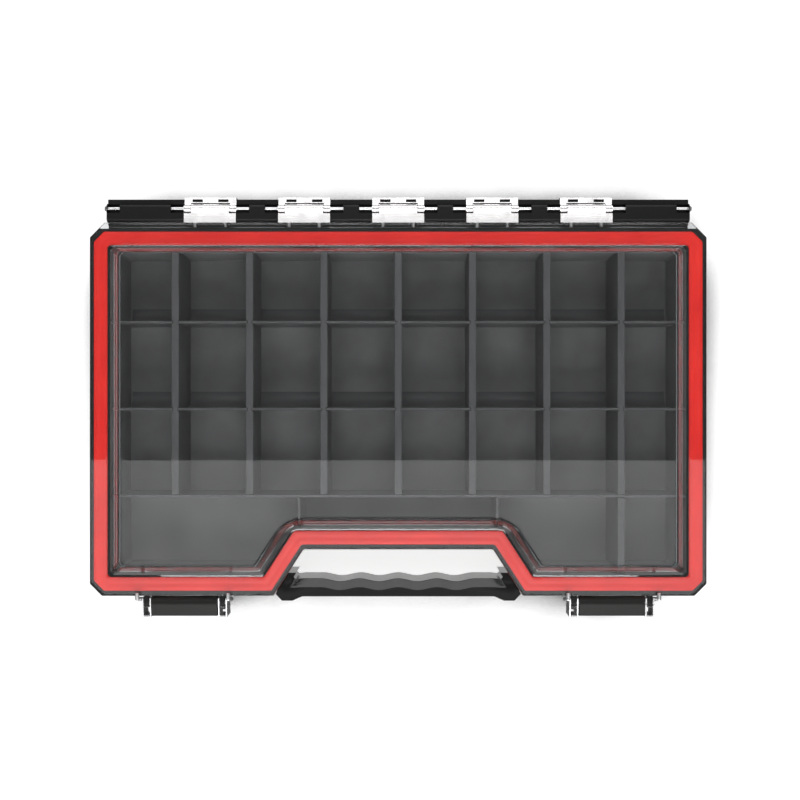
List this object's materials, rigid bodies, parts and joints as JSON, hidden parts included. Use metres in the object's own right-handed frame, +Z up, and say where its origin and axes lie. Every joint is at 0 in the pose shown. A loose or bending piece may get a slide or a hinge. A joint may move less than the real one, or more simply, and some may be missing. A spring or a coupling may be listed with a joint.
{
  "type": "tackle case",
  "caption": "Flat tackle case with a divided tray, a clear domed lid on a rubber seal, a rod hinge along the back, bail latches and a finger-grip handle in a front notch.",
  "frame": {"origin": "centre of the flat underside, below the middle of the lid's outline", "axes": "+Z up with the case lying flat, +Y towards the hinges, +X to the right seen from the latches"},
  "size_m": [0.368, 0.2535, 0.0575],
  "materials": {
    "smoke_clear": "smoke-tinted clear moulded plastic",
    "red_seal": "soft red silicone rubber",
    "tray_black": "fine-textured charcoal moulding",
    "handle_black": "satin black moulding",
    "divider_grey": "smooth dark grey moulding",
    "bright_steel": "polished stainless sheet",
    "steel": "drawn stainless wire and pins"
  },
  "bodies": {
    "case": {"base_tray": "tray_black", "gasket": "red_seal", "handle": "handle_black", "long_divider_1": "divider_grey", "long_divider_2": "divider_grey", "long_divider_3": "divider_grey", "long_divider_4": "divider_grey", "long_divider_5": "divider_grey", "long_divider_6": "divider_grey", "long_divider_7": "divider_grey", "cross_divider_1_1": "divider_grey", "cross_divider_1_2": "divider_grey", "cross_divider_1_3": "divider_grey", "cross_divider_1_4": "divider_grey", "cross_divider_1_5": "divider_grey", "cross_divider_1_6": "divider_grey", "cross_divider_1_7": "divider_grey", "cross_divider_1_8": "divider_grey", "cross_divider_2_1": "divider_grey", "cross_divider_2_2": "divider_grey", "cross_divider_2_3": "divider_grey", "cross_divider_2_4": "divider_grey", "cross_divider_2_5": "divider_grey", "cross_divider_2_6": "divider_grey", "cross_divider_2_7": "divider_grey", "cross_divider_2_8": "divider_grey", "front_row_wall": "divider_grey", "front_divider_left": "divider_grey", "front_divider_right": "divider_grey", "hinge_rod": "steel", "hinge_base_rivets": "steel", "hinge_base_leaf_1": "bright_steel", "hinge_base_leaf_2": "bright_steel", "hinge_base_leaf_3": "bright_steel", "hinge_base_leaf_4": "bright_steel", "hinge_base_leaf_5": "bright_steel", "latch_pin_left": "steel", "latch_pin_right": "steel"},
    "lid_body": {"lid": "smoke_clear", "hinge_lid_rivets": "steel", "hinge_lid_leaf_1": "bright_steel", "hinge_lid_leaf_2": "bright_steel", "hinge_lid_leaf_3": "bright_steel", "hinge_lid_leaf_4": "bright_steel", "hinge_lid_leaf_5": "bright_steel"},
    "lever_left": {"latch_cover_left": "handle_black", "latch_frame_left": "steel"},
    "bail_left": {"latch_bail_left": "steel"},
    "lever_right": {"latch_cover_right": "handle_black", "latch_frame_right": "steel"},
    "bail_right": {"latch_bail_right": "steel"}
  },
  "joints": [
    {"name": "lid_hinge", "type": "hinge", "parent": "case", "child": "lid_body", "pos_m": [0, 0.12, 0.0459], "axis": [-1, 0, 0], "range_deg": [0, 110]},
    {"name": "latch_lever_left", "type": "hinge", "parent": "case", "child": "lever_left", "pos_m": [-0.1283, -0.1163, 0.042], "axis": [-1, 0, 0], "range_deg": [0, 100]},
    {"name": "latch_bail_left_swing", "type": "hinge", "parent": "lever_left", "child": "bail_left", "pos_m": [-0.1283, -0.11541, 0.03566], "axis": [1, 0, 0], "range_deg": [0, 120]},
    {"name": "latch_lever_right", "type": "hinge", "parent": "case", "child": "lever_right", "pos_m": [0.1283, -0.1163, 0.042], "axis": [-1, 0, 0], "range_deg": [0, 100]},
    {"name": "latch_bail_right_swing", "type": "hinge", "parent": "lever_right", "child": "bail_right", "pos_m": [0.1283, -0.11541, 0.03566], "axis": [1, 0, 0], "range_deg": [0, 120]}
  ],
  "couplings": [
    {"joint": "latch_bail_left_swing", "follows": "latch_lever_left", "ratio": 1.2},
    {"joint": "latch_bail_right_swing", "follows": "latch_lever_right", "ratio": 1.2}
  ]
}
